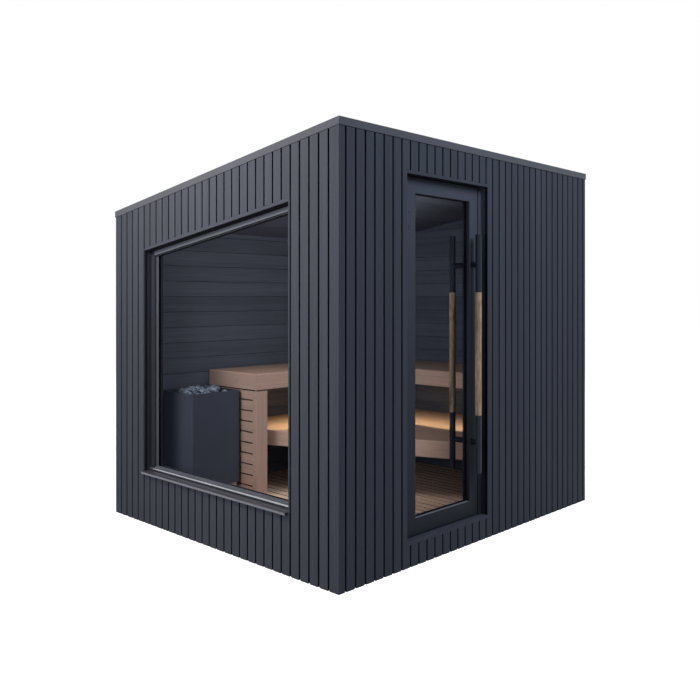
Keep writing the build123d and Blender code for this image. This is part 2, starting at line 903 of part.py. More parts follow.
with BuildPart() as heater_stones:
    with BuildSketch(Plane.XY.offset(heater_top - heater_tray_depth)):
        with Locations(heater_middle):
            RectangleRounded(
                tray_width - 2 * stone_gap,
                tray_depth - 2 * stone_gap,
                heater_corner / 2 - stone_gap,
            )
    extrude(amount=heater_tray_depth)
    with BuildSketch(Plane.XY.offset(heater_top)):
        with Locations(heater_middle):
            Ellipse(tray_width / 2 - heater_rim, tray_depth / 2 - heater_rim)
    extrude(amount=stone_heap_height, taper=45)
heater_stones.part.label = "heater_stones"
export_step(heater_stones.part, "parts/heater_stones.step")

# Benches: deep wooden tops on ledgers. The upper one turns the rear right corner.

bench_left = -room_x + bench_end_distance
rear_bench_front = room_y - upper_bench_depth
side_bench_front = room_x - side_bench_depth
upper_underside = upper_bench_height - bench_fascia
lower_underside = lower_bench_height - bench_fascia

def bench_top(top, outline, cavity):
    """A deep bench top with rounded upper edges, open below between its fascias."""
    with BuildPart() as made:
        with BuildSketch(Plane.XY.offset(top - bench_fascia)):
            Polygon(*outline, align=None)
        extrude(amount=bench_fascia)
        fillet(made.faces().sort_by(Axis.Z)[-1].edges(), bench_edge_radius)
        with BuildSketch(Plane.XY.offset(top - bench_fascia)):
            Polygon(*cavity, align=None)
        extrude(amount=bench_fascia - bench_board_thickness, mode=Mode.SUBTRACT)
    return made.part


with BuildPart() as rear_upper_bench:
    add(
        bench_top(
            upper_bench_height,
            (
                (bench_left, rear_bench_front),
                (room_x, rear_bench_front),
                (room_x, room_y),
                (bench_left, room_y),
            ),
            (
                (bench_left + bench_board_thickness, rear_bench_front + bench_board_thickness),
                (room_x, rear_bench_front + bench_board_thickness),
                (room_x, room_y),
                (bench_left + bench_board_thickness, room_y),
            ),
        )
    )
rear_upper_bench.part.label = "rear_upper_bench"
export_step(rear_upper_bench.part, "parts/rear_upper_bench.step")

with BuildPart() as side_upper_bench:
    add(
        bench_top(
            upper_bench_height,
            (
                (side_bench_front, -room_y),
                (room_x, -room_y),
                (room_x, rear_bench_front),
                (side_bench_front, rear_bench_front),
            ),
            (
                (side_bench_front + bench_board_thickness, -room_y),
                (room_x, -room_y),
                (room_x, rear_bench_front),
                (side_bench_front + bench_board_thickness, rear_bench_front),
            ),
        )
    )
side_upper_bench.part.label = "side_upper_bench"
export_step(side_upper_bench.part, "parts/side_upper_bench.step")

# The lower bench's front edge crosses the room at a slant, from the front wall to the end panel
panel_inside = bench_left + end_panel_thickness + bench_clearance
slant_start_x = door_right + lower_bench_door_gap
slant_end_y = room_y - lower_bench_end_width

with BuildPart() as lower_bench:
    add(
        bench_top(
            lower_bench_height,
            (
                (slant_start_x, -room_y),
                (room_x, -room_y),
                (room_x, room_y),
                (panel_inside, room_y),
                (panel_inside, slant_end_y),
            ),
            (
                (slant_start_x + bench_board_thickness, -room_y),
                (room_x, -room_y),
                (room_x, room_y),
                (panel_inside + bench_board_thickness, room_y),
                (panel_inside + bench_board_thickness, slant_end_y),
            ),
        )
    )
lower_bench.part.label = "lower_bench"
export_step(lower_bench.part, "parts/lower_bench.step")

ledger_inset = 2 * bench_board_thickness

ledger_corner = room_y - ledger_width - mitre_gap
upper_ledgers = (
    upper_bench_height - bench_board_thickness,
    side_bench_front + ledger_inset,
    rear_bench_front - bench_clearance,
)
lower_ledgers = (
    lower_bench_height - bench_board_thickness,
    slant_start_x + ledger_inset,
    ledger_corner,
)

with BuildPart() as bench_ledgers:
    for top, front_end, side_end in (upper_ledgers, lower_ledgers):
        with BuildSketch(Plane.XY.offset(top - ledger_height)):
            rect(panel_inside + ledger_inset, room_x, room_y - ledger_width, room_y)
            rect(room_x - ledger_width, room_x, -ledger_corner, side_end)
            rect(front_end, room_x, -room_y, -room_y + ledger_width)
        extrude(amount=ledger_height)
bench_ledgers.part.label = "bench_ledgers"
export_step(bench_ledgers.part, "parts/bench_ledgers.step")

# End panel below the upper bench, beside the heater: boards with thin open joints and a post

post_top = upper_underside - post_shadow_gap
joint_count = int((post_top - floor_level) // end_panel_pitch)

with BuildPart() as bench_end_panel:
    with BuildSketch(Plane.YZ.offset(bench_left)):
        rect(rear_bench_front + end_panel_thickness, room_y, floor_level, post_top)
        joint_middle = (rear_bench_front + end_panel_thickness + room_y - end_panel_rear_margin) / 2
        joint_length = room_y - rear_bench_front - end_panel_thickness - 2 * end_panel_rear_margin
        first_joint = floor_level + end_panel_pitch
        for number in range(joint_count):
            with Locations((joint_middle, first_joint + number * end_panel_pitch)):
                Rectangle(joint_length, end_panel_gap, mode=Mode.SUBTRACT)
    extrude(amount=end_panel_thickness)
bench_end_panel.part.label = "bench_end_panel"
export_step(bench_end_panel.part, "parts/bench_end_panel.step")

with BuildPart() as bench_post:
    with BuildSketch(Plane.XY.offset(floor_level)):
        rect(
            bench_left,
            bench_left + post_width,
            rear_bench_front,
            rear_bench_front + end_panel_thickness,
        )
    extrude(amount=post_top - floor_level)
    with BuildSketch(Plane.XY.offset(post_top)):
        rect(
            bench_left + post_pad_inset,
            bench_left + post_width,
            rear_bench_front + post_pad_inset,
            rear_bench_front + end_panel_thickness,
        )
    extrude(amount=post_shadow_gap)
bench_post.part.label = "bench_post"
export_step(bench_post.part, "parts/bench_post.step")

# Light strips behind the fascias of the upper benches

with BuildPart() as light_strips:
    with BuildSketch(Plane.XY.offset(upper_bench_height - bench_board_thickness - led_height)):
        rect(
            bench_left + post_width + ledger_inset,
            side_bench_front,
            rear_bench_front + bench_board_thickness,
            rear_bench_front + bench_board_thickness + led_width,
        )
        rect(
            side_bench_front + bench_board_thickness,
            side_bench_front + bench_board_thickness + led_width,
            -room_y + ledger_inset,
            rear_bench_front - ledger_inset,
        )
    extrude(amount=led_height)
light_strips.part.label = "light_strips"
export_step(light_strips.part, "parts/light_strips.step")
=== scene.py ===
"""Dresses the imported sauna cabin: boards, stones, seals, trims and materials round its CAD frame.

Everything is in metres in the cabin's own frame: front wall towards -Y, window wall towards -X.
"""
import json
import math
import random

import bmesh
import bpy
from mathutils import Matrix, Vector

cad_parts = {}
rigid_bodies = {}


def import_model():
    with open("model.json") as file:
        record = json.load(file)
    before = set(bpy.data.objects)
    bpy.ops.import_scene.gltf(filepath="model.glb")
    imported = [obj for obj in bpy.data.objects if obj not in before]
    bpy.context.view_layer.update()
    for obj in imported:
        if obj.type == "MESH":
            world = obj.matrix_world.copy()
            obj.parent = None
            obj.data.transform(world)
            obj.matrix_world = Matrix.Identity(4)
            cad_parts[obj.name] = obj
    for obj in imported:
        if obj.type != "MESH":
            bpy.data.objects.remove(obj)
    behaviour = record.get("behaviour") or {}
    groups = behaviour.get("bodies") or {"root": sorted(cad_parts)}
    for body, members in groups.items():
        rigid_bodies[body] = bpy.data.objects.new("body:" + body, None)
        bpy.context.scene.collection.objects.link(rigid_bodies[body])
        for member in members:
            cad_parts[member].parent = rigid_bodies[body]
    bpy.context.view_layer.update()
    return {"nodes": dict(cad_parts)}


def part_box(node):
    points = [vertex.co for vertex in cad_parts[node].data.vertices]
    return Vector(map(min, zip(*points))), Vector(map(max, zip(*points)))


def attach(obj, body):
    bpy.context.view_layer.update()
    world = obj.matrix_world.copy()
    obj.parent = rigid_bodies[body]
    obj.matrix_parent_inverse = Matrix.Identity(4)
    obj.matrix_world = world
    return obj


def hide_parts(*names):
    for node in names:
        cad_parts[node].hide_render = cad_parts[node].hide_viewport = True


for leftover in list(bpy.data.objects):
    bpy.data.objects.remove(leftover)

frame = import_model()
nodes = frame["nodes"]
scene = bpy.context.scene

# The cabin's own sizes that the added pieces follow

HALF_WIDTH, HALF_DEPTH = 1.232, 1.052
FRONT_HEIGHT, ROOF_FALL = 2.305, 0.299
ROOM_X, ROOM_Y = 1.097, 0.917
LINING = 0.020
LINING_FOOT = 0.070
CEILING_DROP = 0.110
OVER_ROOF = 3.0
BOARD_PITCH, BOARD_START, BOARD_GAP = 0.1065, 0.054, 0.0016
LEAST_BOARD = 0.004
WINDOW = {"front": -0.684, "rear": 0.693, "low": 0.317, "drop": 0.328}
FRAME_LINER = 0.010
DOORWAY = {"left": -0.731, "right": 0.033, "top": 2.119}
LEAF_FRONT = 0.045
HINGE_HEIGHTS = (0.373, 1.852)
SCREW_STEP = 0.038
STRAP = 0.003


def roof_z(y, drop=0.0):
    """Height of the roof edge at y, less a drop."""
    return FRONT_HEIGHT - drop - (y + HALF_DEPTH) * ROOF_FALL / (2 * HALF_DEPTH)


# Node materials


class Paint:
    """A node material with short ways to add nodes to it."""

    def __init__(self, name):
        self.mat = bpy.data.materials.new(name)
        self.mat.use_nodes = True
        self.tree = self.mat.node_tree
        self.shader = self.tree.nodes["Principled BSDF"]
        self.place = self.add("ShaderNodeTexCoord").outputs["Object"]

    def add(self, kind, links=None, **settings):
        """A new node with its settings, and its inputs set to values or linked to sockets."""
        node = self.tree.nodes.new(kind)
        for key, value in settings.items():
            setattr(node, key, value)
        for key, value in (links or {}).items():
            self.plug(node, key, value)
        return node

    def plug(self, node, key, value):
        if isinstance(value, bpy.types.NodeSocket):
            self.tree.links.new(value, node.inputs[key])
        else:
            node.inputs[key].default_value = value

    def set(self, **inputs):
        """Sets the shader's own inputs, with _ for the spaces in their names."""
        for key, value in inputs.items():
            self.plug(self.shader, key.replace("_", " "), value)

    def sum(self, operation, first, second=0.0, third=0.0):
        return self.add(
            "ShaderNodeMath", {0: first, 1: second, 2: third}, operation=operation
        ).outputs[0]

    def stretched(self, scale, place=None, turn=0.0):
        links = {"Vector": place or self.place, "Scale": scale, "Rotation": (0, 0, turn)}
        return self.add("ShaderNodeMapping", links).outputs[0]

    def noise(self, place, scale=1.0, detail=3.0, rough=0.5, distort=0.0):
        links = {
            "Vector": place,
            "Scale": scale,
            "Detail": detail,
            "Roughness": rough,
            "Distortion": distort,
        }
        return self.add("ShaderNodeTexNoise", links).outputs["Fac"]

    def span(self, value, low, high, from_low=0.3, from_high=0.7):
        links = {
            "Value": value,
            "From Min": from_low,
            "From Max": from_high,
            "To Min": low,
            "To Max": high,
        }
        return self.add("ShaderNodeMapRange", links).outputs[0]

    def blend(self, factor, first, second):
        node = self.add("ShaderNodeMix", data_type="RGBA")
        for key, value in (("Factor_Float", factor), ("A_Color", first), ("B_Color", second)):
            socket = next(s for s in node.inputs if s.identifier == key)
            if isinstance(value, bpy.types.NodeSocket):
                self.tree.links.new(value, socket)
            else:
                socket.default_value = value
        return next(s for s in node.outputs if s.identifier == "Result_Color")

    def tone(self, colour, value):
        """The colour brightened or darkened by a number about 1."""
        links = {"Color": colour, "Value": value}
        return self.add("ShaderNodeHueSaturation", links).outputs[0]

    def painted_shade_below(self, colour, value, low=-0.9, high=-0.5):
        """The colour, darkened by a number on the faces whose normals' Z is below high: painted
        shade.
        """
        normal = self.add("ShaderNodeNewGeometry").outputs["True Normal"]
        upward = self.add("ShaderNodeSeparateXYZ", {0: normal}).outputs["Z"]
        return self.tone(colour, self.span(upward, value, 1.0, low, high))

    def bump(self, height, strength, distance=0.001):
        links = {"Height": height, "Strength": strength, "Distance": distance}
        self.set(Normal=self.add("ShaderNodeBump", links).outputs[0])

    def board_number(self, axis, pitch, start):
        """A random number from 0 to 1 for each board in a row along an axis."""
        split = self.add("ShaderNodeSeparateXYZ", {0: self.place}).outputs[axis]
        count = self.sum("FLOOR", self.sum("DIVIDE", self.sum("SUBTRACT", split, start), pitch))
        dice = self.add("ShaderNodeTexWhiteNoise", {"W": count}, noise_dimensions="1D")
        return dice.outputs["Value"]


def rgba(colour, scale=1.0):
    return (*(channel * scale for channel in colour), 1.0)


def wood(
    name, colour, grain, spread=0.2, row=None, rough=(0.5, 0.7), bump=0.25, turn=0.0, blush=0.0,
    varied=0.10, sheen=0.16, groove_shade=1.0, faces=(("X", HALF_WIDTH), ("Y", HALF_DEPTH)), foot=1.0,
    under_shade=1.0, turned=(-0.9, -0.5), scale=(90.0, 2.2),
):
    """Wood, or paint that shows its grain, with the grain along X, Y, Z or level (XY).

    spread is how far the streaks differ from the colour, row gives (axis, pitch, start) of boards
    that differ from each other by varied, blush reddens some of the streaks, and groove_shade is
    how much of the colour is left behind the faces, each given by its axis and distance: painted
    shade in the grooves. foot is how much of the colour is left near the ground: painted shade that
    darkens it towards the bottom. under_shade is how much of it there is on faces that look down,
    whose normals' Z is below turned: painted shade. scale is that of the streaks across and along
    the grain.
    """
    p = Paint(name)
    fine = [scale[1] if letter in grain else scale[0] for letter in "XYZ"]
    place = p.stretched((1, 1, 1), turn=turn) if turn else p.place
    if row:
        dice = p.board_number(*row)
        shift = p.add("ShaderNodeCombineXYZ", {0: dice, 1: dice, 2: dice}).outputs[0]
        links = {0: place, 1: shift}
        place = p.add("ShaderNodeVectorMath", links, operation="ADD").outputs[0]
    streaks = p.noise(p.stretched(fine, place), 1.0, 4.0, 0.6, 0.4)
    broad = p.noise(p.stretched([value * 0.16 for value in fine], place), 1.0, 3.0, 0.55, 0.8)
    fibres = p.noise(p.stretched([value * 8 for value in fine], place), 1.0, 2.0, 0.6)
    mixed = p.sum("MULTIPLY_ADD", streaks, 0.55, p.sum("MULTIPLY", broad, 0.45))
    shade = p.span(mixed, 0.0, 1.0, 0.34, 0.66)
    low, high = rgba(colour, 1 - spread), rgba(colour, 1 + spread)
    mix = p.blend(shade, low, high)
    if blush:
        warm = rgba((colour[0], colour[1] * (1 - blush), colour[2] * (1 - 1.3 * blush)))
        mix = p.blend(p.span(broad, 0.0, 0.8), mix, warm)
    mix = p.tone(mix, p.span(fibres, 1 - spread * 0.4, 1 + spread * 0.4))
    if row:
        mix = p.tone(mix, p.span(dice, 1 - varied, 1 + varied, 0.0, 1.0))
    # Painted shade on the board sides behind the faces, in the grooves and joints
    if groove_shade < 1:
        spot = p.add("ShaderNodeSeparateXYZ", {0: p.place}).outputs
        depths = [
            p.sum("SUBTRACT", half, p.sum("ABSOLUTE", spot[axis]))
            for axis, half in faces
        ]
        depth = p.sum("MINIMUM", depths[0], depths[-1])
        mix = p.tone(mix, p.span(depth, 1.0, groove_shade, 0.0014, 0.0045))
    # Painted shade: the colour darkens towards the ground
    if foot < 1:
        height = p.add("ShaderNodeSeparateXYZ", {0: p.place}).outputs["Z"]
        mix = p.tone(mix, p.span(height, foot, 1.0, 0.2, 1.9))
    # Painted shade on the faces that look down
    if under_shade < 1:
        mix = p.painted_shade_below(mix, under_shade, *turned)
    p.set(Base_Color=mix, Roughness=p.span(streaks, *rough), Specular_IOR_Level=sheen)
    height = p.sum("MULTIPLY_ADD", streaks, 0.6, p.sum("MULTIPLY", fibres, 0.4))
    p.bump(height, bump, 0.0012)
    return p.mat


def coated(name, colour, rough, metallic=0.0, bump=0.06, sheen=0.5, under_shade=1.0):
    """A coated or bare metal with a fine texture and faint clouding, and painted shade on the faces
    that look down when under_shade is below 1.
    """
    p = Paint(name)
    speckle = p.noise(p.place, 900.0, 2.0, 0.6)
    clouds = p.noise(p.place, 3.5, 3.0, 0.5)
    mix = p.tone(rgba(colour), p.span(clouds, 0.94, 1.06))
    worn = p.sum("MULTIPLY_ADD", clouds, 0.5, p.sum("MULTIPLY", speckle, 0.5))
    # Faces that look down get painted shade when the under setting is below 1
    p.set(
        Base_Color=p.painted_shade_below(mix, under_shade) if under_shade < 1 else mix,
        Roughness=p.span(worn, *rough),
        Metallic=metallic,
        Specular_IOR_Level=sheen,
    )
    p.bump(speckle, bump, 0.0006)
    return p.mat


def pane(name, tint, ior):
    """Thin sheet glass: tinted and clear, and a little darker where it is seen at a low angle."""
    p = Paint(name)
    smear = p.noise(p.place, 5.0, 4.0, 0.6)
    p.set(
        Base_Color=p.tone(rgba((0.004, 0.005, 0.006)), p.span(smear, 0.9, 1.0)),
        Roughness=0.1,
        Specular_IOR_Level=0.0,
    )
    clear = p.add("ShaderNodeBsdfTransparent", {"Color": rgba(tint)})
    entering = p.sum("SUBTRACT", 1.0, p.add("ShaderNodeNewGeometry").outputs["Backfacing"])
    dimming = p.sum("MULTIPLY", p.add("ShaderNodeFresnel", {"IOR": ior}).outputs[0], entering)
    links = {0: dimming, 1: clear.outputs[0], 2: p.shader.outputs[0]}
    both = p.add("ShaderNodeMixShader", links)
    p.tree.links.new(both.outputs[0], p.tree.nodes["Material Output"].inputs["Surface"])
    return p.mat


def stone():
    """Rough split stone in pale and dark patches."""
    p = Paint("split_stone")
    patches = p.noise(p.place, 38.0, 5.0, 0.65, 0.6)
    specks = p.noise(p.place, 420.0, 3.0, 0.7)
    patchy = p.span(patches, 0.0, 1.0, 0.35, 0.65)
    colour = p.blend(patchy, rgba((0.07, 0.088, 0.112)), rgba((0.25, 0.29, 0.34)))
    p.set(
        Base_Color=p.tone(colour, p.span(specks, 0.75, 1.2)),
        Roughness=p.span(patches, 0.55, 0.85),
    )
    p.bump(p.sum("MULTIPLY_ADD", patches, 0.7, p.sum("MULTIPLY", specks, 0.3)), 0.6, 0.004)
    return p.mat


def felt():
    """Gritty roof felt with broad stains."""
    p = Paint("roof_felt")
    grit = p.noise(p.place, 650.0, 3.0, 0.8)
    stains = p.noise(p.place, 1.6, 5.0, 0.6, 0.8)
    stained = p.span(stains, 0.0, 1.0)
    colour = p.blend(stained, rgba((0.030, 0.031, 0.034)), rgba((0.062, 0.063, 0.066)))
    p.set(Base_Color=p.tone(colour, p.span(grit, 0.6, 1.5)), Roughness=p.span(stains, 0.78, 0.95))
    p.bump(grit, 0.5, 0.002)
    return p.mat


def matt(name, colour, scale=60.0, rough=(0.7, 0.9)):
    """A dull surface that is seldom seen, with some mottling."""
    p = Paint(name)
    mottle = p.noise(p.place, scale, 4.0, 0.6)
    p.set(
        Base_Color=p.tone(rgba(colour), p.span(mottle, 0.8, 1.2)),
        Roughness=p.span(mottle, *rough),
        Specular_IOR_Level=0.1,
    )
    p.bump(mottle, 0.2, 0.001)
    return p.mat


def glow():
    """The diffuser over the warm light strip."""
    p = Paint("warm_light")
    dots = p.add(
        "ShaderNodeTexWave", {"Vector": p.place, "Scale": 18.0}, bands_direction="DIAGONAL"
    ).outputs["Fac"]
    warm = (1.0, 0.63, 0.30)
    p.set(
        Base_Color=rgba((0.9, 0.75, 0.55)),
        Roughness=p.span(dots, 0.35, 0.5, 0.0, 1.0),
        Emission_Color=p.tone(rgba(warm), p.span(dots, 0.85, 1.0, 0.0, 1.0)),
        Emission_Strength=GLOW_STRENGTH,
    )
    return p.mat


GLOW_STRENGTH = 9.0
BOARD_BLUE = (0.050, 0.053, 0.067)
FRAME_BLUE = (0.058, 0.063, 0.080)
LINING_GREY = (0.080, 0.087, 0.106)
BENCH = (0.372, 0.256, 0.196)
DECK = (0.72, 0.505, 0.37)
GRIP = (0.36, 0.25, 0.165)
SLAT_PITCH = 0.070
PANEL_FACE = 0.572
FRONT_ROW = ("X", SLAT_PITCH, -HALF_WIDTH + 0.048)
SIDE_ROW = ("Y", SLAT_PITCH, -HALF_DEPTH + 0.072)
BOARD_ROW = ("Z", BOARD_PITCH, BOARD_START)
LOWER_BENCH_TURN = math.atan2(0.720, 1.723)

# Settings that several kinds of wood share, among them painted shade in the grooves, towards the
# ground and on faces that look down
BOARDS_AND_GROOVE_SHADE = {"varied": 0.05, "groove_shade": 0.16, "sheen": 0.04}
JOINERY_PAINT_AND_SHADE = {"rough": (0.45, 0.6), "bump": 0.08, "sheen": 0.05, "foot": 0.30, "under_shade": 0.15}
PLANED = {"rough": (0.42, 0.55), "bump": 0.06, "blush": 0.10}

paints = {
    "front_boards": wood("front_boards", BOARD_BLUE, "Z", 0.13, FRONT_ROW, **BOARDS_AND_GROOVE_SHADE),
    "side_boards": wood("side_boards", BOARD_BLUE, "Z", 0.13, SIDE_ROW, **BOARDS_AND_GROOVE_SHADE),
    "joinery": wood("joinery", FRAME_BLUE, "Z", 0.05, **JOINERY_PAINT_AND_SHADE),
    "level_joinery": wood("level_joinery", FRAME_BLUE, "XY", 0.05, **JOINERY_PAINT_AND_SHADE),
    "trim": wood(
        "trim", BOARD_BLUE, "XY", 0.08, rough=(0.45, 0.6), bump=0.1, sheen=0.04, under_shade=0.15
    ),
    "lining": wood(
        "lining", LINING_GREY, "XY", 0.18, BOARD_ROW, rough=(0.45, 0.6), bump=0.15, sheen=0.05
    ),
    "bench_x": wood("bench_x", BENCH, "X", 0.2, under_shade=0.3, **PLANED),
    "bench_y": wood("bench_y", BENCH, "Y", 0.2, under_shade=0.3, **PLANED),
    "bench_z": wood("bench_z", BENCH, "Z", 0.16, **PLANED),
    # bench_panel: painted shade in the joints between its slats
    "bench_panel": wood(
        "bench_panel", BENCH, "Y", 0.16, groove_shade=0.10, faces=(("X", PANEL_FACE),), **PLANED
    ),
    "bench_slant": wood(
        "bench_slant", BENCH, "Y", 0.2, under_shade=0.3, turn=-LOWER_BENCH_TURN, **PLANED
    ),
    # deck: painted shade on the slat sides, which are the faces whose normals' Z is below 0.97
    "deck": wood(
        "deck", DECK, "Y", 0.18, ("X", SLAT_PITCH, 0.0), blush=0.12, varied=0.12, under_shade=0.15,
        turned=(0.3, 0.97),
    ),
    "grip": wood(
        "grip", GRIP, "Z", 0.7, rough=(0.5, 0.65), bump=0.4, sheen=0.08, scale=(190.0, 17.0)
    ),
    "timber": wood("timber", (0.30, 0.22, 0.14), "Y", 0.25),
    "plywood": wood("plywood", (0.06, 0.042, 0.030), "X", 0.15),
    "backing": matt("backing", (0.004, 0.004, 0.005)),
    "edge_metal": coated("edge_metal", (0.060, 0.062, 0.076), (0.32, 0.46), sheen=0.2),
    "sill": coated("sill", (0.10, 0.10, 0.115), (0.24, 0.38), 0.55),
    "bright": coated("bright", (0.42, 0.43, 0.46), (0.20, 0.32), 0.9),
    # The window's rails and jambs are one metal painted twice: rails and bead lighter as if lit,
    # jambs darker as if in shade (painted light and shade)
    "window_frame_lit": coated(
        "window_frame_lit", (0.112, 0.118, 0.136), (0.42, 0.55), bump=0.03, sheen=0.05, under_shade=0.05
    ),
    # A light grey that paints the highlight along the door's bottom rail
    "strip": coated("strip", (0.17, 0.19, 0.225), (0.3, 0.45), 0.2),
    "window_frame_shaded": coated("window_frame_shaded", (0.026, 0.029, 0.036), (0.42, 0.55), bump=0.03, sheen=0.05),
    "bar": coated("bar", (0.021, 0.025, 0.035), (0.36, 0.5), sheen=0.12),
    "black": coated("black", (0.014, 0.016, 0.023), (0.36, 0.5), sheen=0.09),
    "heater": coated("heater", (0.048, 0.054, 0.068), (0.42, 0.55), sheen=0.06),
    "leg": coated("leg", (0.50, 0.46, 0.47), (0.3, 0.42), 0.6),
    # Black rubber for the seals, also used for dark strips that paint shade
    "rubber_and_shade": matt("rubber_and_shade", (0.004, 0.004, 0.005), 300.0, (0.55, 0.7)),
    "felt": felt(),
    "stone": stone(),
    "glow": glow(),
    "window_pane": pane("window_pane", (0.92, 0.93, 0.955), 1.25),
    "door_pane": pane("door_pane", (0.88, 0.90, 0.93), 1.25),
}

NODE_PAINTS = {
    "front_boards": "front_cladding rear_cladding",
    "side_boards": "window_cladding right_cladding",
    "joinery": "door_jambs door_stiles frame_hinges leaf_hinges",
    "level_joinery": "door_rails",
    "trim": "opening_trims door_head door_threshold",
    "window_frame_lit": "window_rails",
    "window_frame_shaded": "window_jambs",
    "lining": "wall_lining ceiling_lining",
    "bench_x": "rear_upper_bench",
    "bench_y": "side_upper_bench bench_ledgers",
    "bench_panel": "bench_end_panel",
    "bench_z": "bench_post",
    "bench_slant": "lower_bench",
    "deck": "floor_slats",
    "grip": "handle_grips",
    "timber": "base_edge_beams floor_bearers",
    "plywood": "floor_panel",
    "backing": "front_wall_left front_wall_right front_wall_lintel front_wall_sill rear_wall"
    " window_wall_front window_wall_rear window_wall_lintel window_wall_sill right_wall roof_panel",
    "edge_metal": "front_edge_flashing rear_edge_flashing left_edge_flashing right_edge_flashing",
    "sill": "window_sill",
    "bar": "handle_bars",
    "black": "handle_standoffs",
    "heater": "heater_casing",
    "leg": "heater_legs",
    "felt": "roof_skin",
    "stone": "heater_stones",
    "glow": "light_strips",
    "window_pane": "window_glass",
    "door_pane": "door_glass",
}
for paint, names in NODE_PAINTS.items():
    for name in names.split():
        nodes[name].data.materials.clear()
        nodes[name].data.materials.append(paints[paint])

# Softened edges on the CAD pieces, where the real ones are planed, folded or turned

EDGE_WIDTHS = {
    0.0016: "front_cladding rear_cladding window_cladding right_cladding floor_slats",
    0.0022: "bench_end_panel bench_post",
    0.0012: "opening_trims window_jambs window_rails door_jambs door_head door_threshold"
    " door_stiles door_rails",
    0.0008: "front_edge_flashing rear_edge_flashing left_edge_flashing right_edge_flashing",
    0.0014: "handle_bars handle_grips heater_legs",
}


def soften(piece, width):
    """Rounds a piece's sharp edges."""
    piece.modifiers.new("weld", "WELD").merge_threshold = 1e-5
    edge = piece.modifiers.new("edge", "BEVEL")
    edge.width = width
    edge.segments = 2
    edge.limit_method = "ANGLE"
    edge.angle_limit = math.radians(40)
    normals = piece.modifiers.new("normals", "WEIGHTED_NORMAL")
    normals.keep_sharp = True


for width, names in EDGE_WIDTHS.items():
    for name in names.split():
        soften(nodes[name], width)


# Added pieces


def slab(low, high, cuts=()):
    """A box between two corners, cut by planes that are given by a point and an outward normal."""
    low, high = Vector(low), Vector(high)
    middle, size = (low + high) / 2, high - low
    made = bmesh.new()
    place = Matrix.Translation(middle) @ Matrix.Diagonal((*size, 1.0))
    bmesh.ops.create_cube(made, size=1.0, matrix=place)
    for point, outward in cuts:
        every = made.verts[:] + made.edges[:] + made.faces[:]
        bmesh.ops.bisect_plane(
            made, geom=every, dist=1e-6, plane_co=point, plane_no=outward, clear_outer=True
        )
        open_edges = [edge for edge in made.edges if edge.is_boundary]
        if open_edges:
            bmesh.ops.holes_fill(made, edges=open_edges)
    bmesh.ops.recalc_face_normals(made, faces=made.faces)
    return made


def ring(outer, inner, place, start, end):
    """A closed frame between two outlines of the same points, from start to end along its axis."""
    made = bmesh.new()
    rows = [
        [made.verts.new(place(u, v, depth)) for u, v in outline]
        for outline, depth in ((outer, start), (outer, end), (inner, end), (inner, start))
    ]
    count = len(outer)
    for row, after in zip(rows, rows[1:] + rows[:1]):
        for i in range(count):
            j = (i + 1) % count
            made.faces.new((row[i], row[j], after[j], after[i]))
    bmesh.ops.recalc_face_normals(made, faces=made.faces)
    return made


def rod(start, end, radius, segments, tip=None):
    """A round bar or cone between two points."""
    start, end = Vector(start), Vector(end)
    along = end - start
    made = bmesh.new()
    turn = along.to_track_quat("Z", "Y").to_matrix().to_4x4()
    bmesh.ops.create_cone(
        made,
        cap_ends=True,
        segments=segments,
        radius1=radius,
        radius2=radius if tip is None else tip,
        depth=along.length,
        matrix=Matrix.Translation((start + end) / 2) @ turn,
    )
    return made


def add_piece(name, parts, paint, body, edge=0.0, stands_for=()):
    """Joins the parts into one piece with its material and softened edges."""
    joined = bmesh.new()
    for part in parts:
        if len(part.verts) > 3:
            loose = bpy.data.meshes.new("loose")
            part.to_mesh(loose)
            joined.from_mesh(loose)
            bpy.data.meshes.remove(loose)
        part.free()
    mesh = bpy.data.meshes.new(name)
    joined.to_mesh(mesh)
    joined.free()
    mesh.materials.append(paints[paint])
    for face in mesh.polygons:
        face.use_smooth = edge > 0
    piece = bpy.data.objects.new(name, mesh)
    scene.collection.objects.link(piece)
    if edge:
        soften(piece, edge)
    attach(piece, body)
    if stands_for:
        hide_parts(*stands_for)
    return piece


ROOF_NORMAL = Vector((0, ROOF_FALL / (2 * HALF_DEPTH), 1)).normalized()


def below_ceiling(drop=CEILING_DROP):
    """A cut that keeps what is under a plane that slopes as the roof does."""
    return (Vector((0, 0, roof_z(0, drop))), ROOF_NORMAL)


def above_head(drop):
    """A cut that keeps what is over such a plane."""
    return (Vector((0, 0, roof_z(0, drop))), -ROOF_NORMAL)


def wall_boards(x, y, z, cuts=()):
    """Level lining boards that fill a stretch of wall between limits in x, y and z."""
    parts = []
    number = 0
    while BOARD_START + number * BOARD_PITCH < z[1]:
        foot = BOARD_START + number * BOARD_PITCH
        low = max(z[0], foot + BOARD_GAP / 2)
        high = min(z[1], foot + BOARD_PITCH - BOARD_GAP / 2)
        if high - low > LEAST_BOARD:
            parts.append(slab((x[0], y[0], low), (x[1], y[1], high), cuts))
        number += 1
    return parts


wall_x, wall_y = ROOM_X + LINING, ROOM_Y + LINING
mitre = 0.001
top_cut = [below_ceiling()]
left, right = (-wall_x, -ROOM_X), (ROOM_X, wall_x)
front, rear = (-wall_y, -ROOM_Y), (ROOM_Y, wall_y)
side_run = (-ROOM_Y + mitre, ROOM_Y - mitre)
full = (LINING_FOOT, FRONT_HEIGHT)
window_front = WINDOW["front"] - FRAME_LINER
window_rear = WINDOW["rear"] + FRAME_LINER
window_low = WINDOW["low"] - FRAME_LINER
window_drop = WINDOW["drop"] - FRAME_LINER

